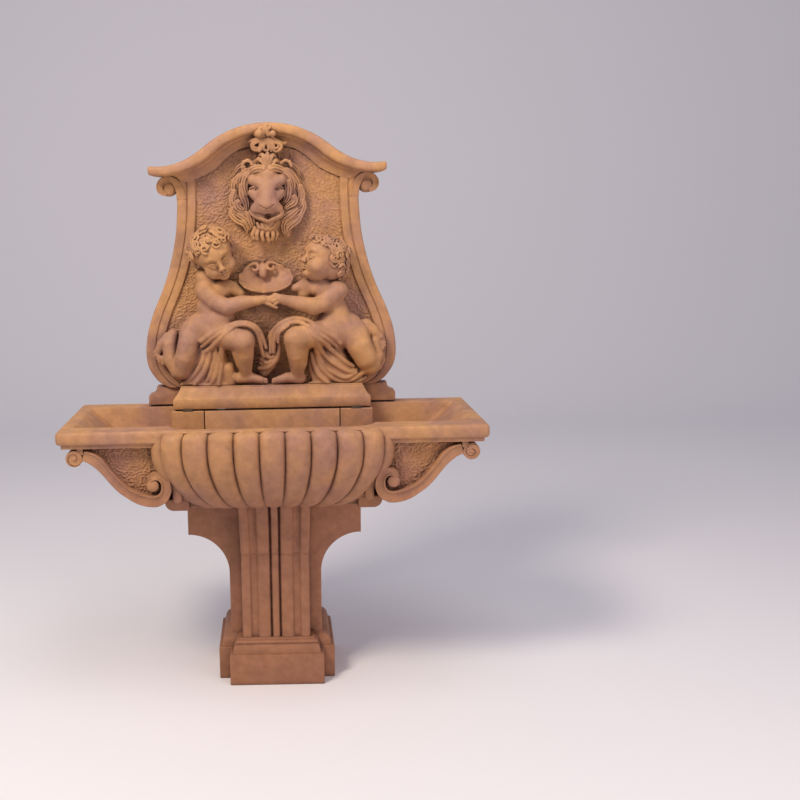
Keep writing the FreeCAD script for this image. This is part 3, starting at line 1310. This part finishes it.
def make_rotor(middle, axis):
    """The turning parts of the pump and the spindle that carries them."""
    room = S.seat_gap
    impeller = new_body("impeller")
    vane_length = S.chamber_length - S.pump_wall * 2
    plate_thick = S.spindle_round + room
    back_plate = sketch_on(impeller, "YZ", room)
    regular(back_plate, 0, 0, S.impeller_round)
    pad(impeller, back_plate, plate_thick - room)
    hub = sketch_on(impeller, "YZ", room)
    regular(hub, 0, 0, S.bush_round * 1.1)
    pad(impeller, hub, vane_length - room)
    hub_bore = sketch_on(impeller, "YZ", vane_length)
    regular(hub_bore, 0, 0, S.spindle_round + room)
    pocket(impeller, hub_bore, vane_length)
    vane = sketch_on(impeller, "YZ", S.spindle_round)
    rectangle(vane, S.bush_round * 0.8, S.impeller_round - room, -S.spindle_round / 2, S.spindle_round / 2)
    vane_pad = pad(impeller, vane, vane_length - S.spindle_round)
    fan = impeller.newObject("PartDesign::PolarPattern", "vanes")
    fan.Originals = [vane_pad]
    fan.Axis = (vane, ["N_Axis"])
    fan.Angle = 360
    fan.Occurrences = 6
    impeller.Tip = fan
    keep_at(impeller, "impeller", S.pump_front_x, middle, axis)

    x_way = Vec(1, 0, 0)
    bore = S.spindle_round + room
    tail = S.magnet_length + S.bush_round * 2
    magnet = turned([(bore, -S.magnet_length), (bore, room), (S.magnet_round, room),
                     (S.magnet_round, -S.magnet_length)], x_way)
    spindle = turned([(0, -tail), (S.spindle_round, -tail), (S.spindle_round, S.chamber_length),
                      (0, S.chamber_length)], x_way)
    bush = turned([(S.spindle_round, -tail), (S.bush_round, -tail), (S.bush_round, S.bush_round - tail),
                   (S.spindle_round, S.bush_round - tail)], x_way)
    for name, shape in (("rotor_magnet", magnet), ("rotor_spindle", spindle), ("spindle_bush", bush)):
        keep_at(feature_of(name, shape), name, S.pump_front_x, middle, axis)

    cage = new_body("intake_cage")
    wall = S.pump_wall * 0.7
    stem = S.spindle_round * 1.4
    basket = sketch_on(cage, "YZ", 0)
    regular(basket, 0, 0, S.cage_round)
    pad(cage, basket, S.cage_length)
    inside = sketch_on(cage, "YZ", 0)
    regular(inside, 0, 0, S.cage_round - wall)
    pocket(cage, inside, S.cage_length - wall, onward=True)
    dial_hole = sketch_on(cage, "YZ", S.cage_length)
    regular(dial_hole, 0, 0, stem + room)
    pocket(cage, dial_hole, wall)
    slot = sketch_on(cage, "YZ", S.cage_length - wall - 2)
    rectangle(slot, S.cage_round - wall * 2, S.cage_round + 1, -wall, wall)
    slot_cut = pocket(cage, slot, S.cage_length - wall - 5)
    slots = cage.newObject("PartDesign::PolarPattern", "slots")
    slots.Originals = [slot_cut]
    slots.Axis = (slot, ["N_Axis"])
    slots.Angle = 360
    slots.Occurrences = 12
    cage.Tip = slots
    keep_at(cage, "intake_cage", S.pump_front_x + S.chamber_length, middle, axis)

    # A stem with a snap head behind the cage's end wall holds the dial.
    dial = turned([(0, -wall * 2), (stem * 1.6, -wall * 2), (stem * 1.6, -wall - room), (stem, -wall - room),
                   (stem, room), (S.cage_round * 0.8, room), (S.cage_round * 0.7, S.dial_thick),
                   (0, S.dial_thick)], x_way)
    grip = Part.makeBox(float(S.dial_thick), float(wall * 2), float(S.cage_round * 1.1),
                        Vec(float(S.dial_thick - 1), -float(wall), -float(S.cage_round * 0.55)))
    keep_at(feature_of("flow_dial", dial.fuse(grip)), "flow_dial",
            S.pump_front_x + S.chamber_length + S.cage_length, middle, axis)

    feet = []
    for x in (-0.8, -0.2):
        for y in (-0.3, 0.3):
            foot = at(S.pump_front_x + S.pump_length * x, middle + S.pump_width * y, sump_floor())
            cup = turned([(0, 0), (S.foot_rise, 0), (S.foot_rise * 0.45, S.foot_rise), (0, S.foot_rise)])
            cup.translate(foot)
            feet.append(cup)
    keep(feature_of("pump_feet", Part.makeCompound(feet)), "pump_feet")


def make_drain():
    """The drain through the floor of the pump bay: flanged tail, seals, nut and lift-out stopper."""
    bore, wall, seal = S.drain_round, S.pump_wall, S.seat_gap * 6
    outer = drain_thread_round()
    under = S.seat_height - sump_floor()
    nut_low = under - wall * 4
    place = (S.drain_x, S.drain_depth, sump_floor())
    tail_end = under - S.drain_tail
    drain = new_body("drain_body")
    flange = sketch_on(drain, "XY", seal)
    regular(flange, 0, 0, S.drain_flange)
    pad(drain, flange, wall)
    thread = sketch_on(drain, "XY", nut_low)
    regular(thread, 0, 0, outer)
    pad(drain, thread, seal - nut_low)
    tail = sketch_on(drain, "XY", tail_end)
    circle(tail, 0, 0, bore + wall)
    pad(drain, tail, nut_low - tail_end)
    way_through = sketch_on(drain, "XY", seal + wall)
    regular(way_through, 0, 0, bore)
    pocket(drain, way_through, seal + wall - tail_end)
    keep_at(drain, "drain_body", *place)
    hole = (outer + S.seat_gap) / math.cos(math.pi / 12)
    seals = turned([(hole, 0), (S.drain_flange, 0), (S.drain_flange, seal), (hole, seal)])
    keep_at(feature_of("drain_seal", seals), "drain_seal", *place)
    nut = new_body("drain_nut")
    hexagon = sketch_on(nut, "XY", nut_low)
    corner = S.drain_flange
    rise = corner * math.sqrt(0.75)
    outline(hexagon, [(corner, 0.0), (corner / 2, rise), (-corner / 2, rise), (-corner, 0.0),
                      (-corner / 2, -rise), (corner / 2, -rise)])
    pad(nut, hexagon, wall * 4)
    thread = sketch_on(nut, "XY", under)
    regular(thread, 0, 0, outer)
    pocket(nut, thread, wall * 4)
    keep_at(nut, "drain_nut", *place)
    room = S.seat_gap
    top = seal + wall + room
    stopper = turned([(0, top - wall * 3), (bore - room * 2, top - wall * 3), (bore - room, top),
                      (bore + wall, top), (bore + wall, top + wall), (wall * 1.2, top + wall * 1.6),
                      (wall * 1.2, top + wall * 6), (wall * 2.4, top + wall * 6.6),
                      (wall * 2.4, top + wall * 8), (0, top + wall * 8)])
    keep_at(feature_of("drain_stopper", stopper), "drain_stopper", *place)


def drain_thread_round():
    """Radius of the drain's thread, which passes through the basin's floor and the nut."""
    return S.drain_round + S.pump_wall + S.drain_thread


def make_small_fixings():
    """Dowels, setting pads and wall ties."""
    names = ("seat_dowels", "base_dowels", "panel_dowels", "hood_dowels")
    rods = dowel_rods(S.dowel_round - S.seat_gap, float(S.seat_gap))
    for i, name in enumerate(names):
        keep(feature_of(name, Part.makeCompound(rods[2 * i:2 * i + 2])), name)
    pads = []
    half = S.pad_size / 2
    for side in (-1, 1):
        for x, depth in (((S.bay_half + S.house_half) / 2, S.house_front - half),
                         (S.rear_base_half - S.pad_size, S.rear_base_depth / 2)):
            pads.append(block(side * x - half, side * x + half, depth - half, depth + half, S.rim_height,
                              base_foot()))
    keep(feature_of("setting_pads", Part.makeCompound(pads)), "setting_pads")
    keep(feature_of("wall_ties", Part.makeCompound(tie_solids())), "wall_ties")


def check_and_write():
    """Stop at any failed or broken object, then write one file for each node."""
    DOC.recompute()
    failed = [item.Label for item in DOC.Objects if "Invalid" in item.State or "Error" in item.State]
    if failed:
        raise RuntimeError("failed: %s" % ", ".join(failed))
    for node in NODES:
        shape = node.Shape
        if shape.isNull() or not shape.isValid() or not shape.Solids:
            raise RuntimeError("broken shape: %s" % node.Label)
    os.makedirs("parts", exist_ok=True)
    for node in NODES:
        node.Shape.exportStep(os.path.join("parts", node.Label + ".step"))
        print("%-16s %2d solids %9.1f cm3" % (node.Label, len(node.Shape.Solids), node.Shape.Volume / 1000))


make_pedestal()
make_basin()
make_pump_cover()
BASE = make_panel_base()
HOOD = make_hood()
PANEL = make_panel()
DOC.recompute()
make_putti_and_carvings(PANEL, BASE, HOOD)
make_spout()
make_hose()
make_hose_fixings()
make_rotor(*make_pump())
make_drain()
make_small_fixings()
check_and_write()
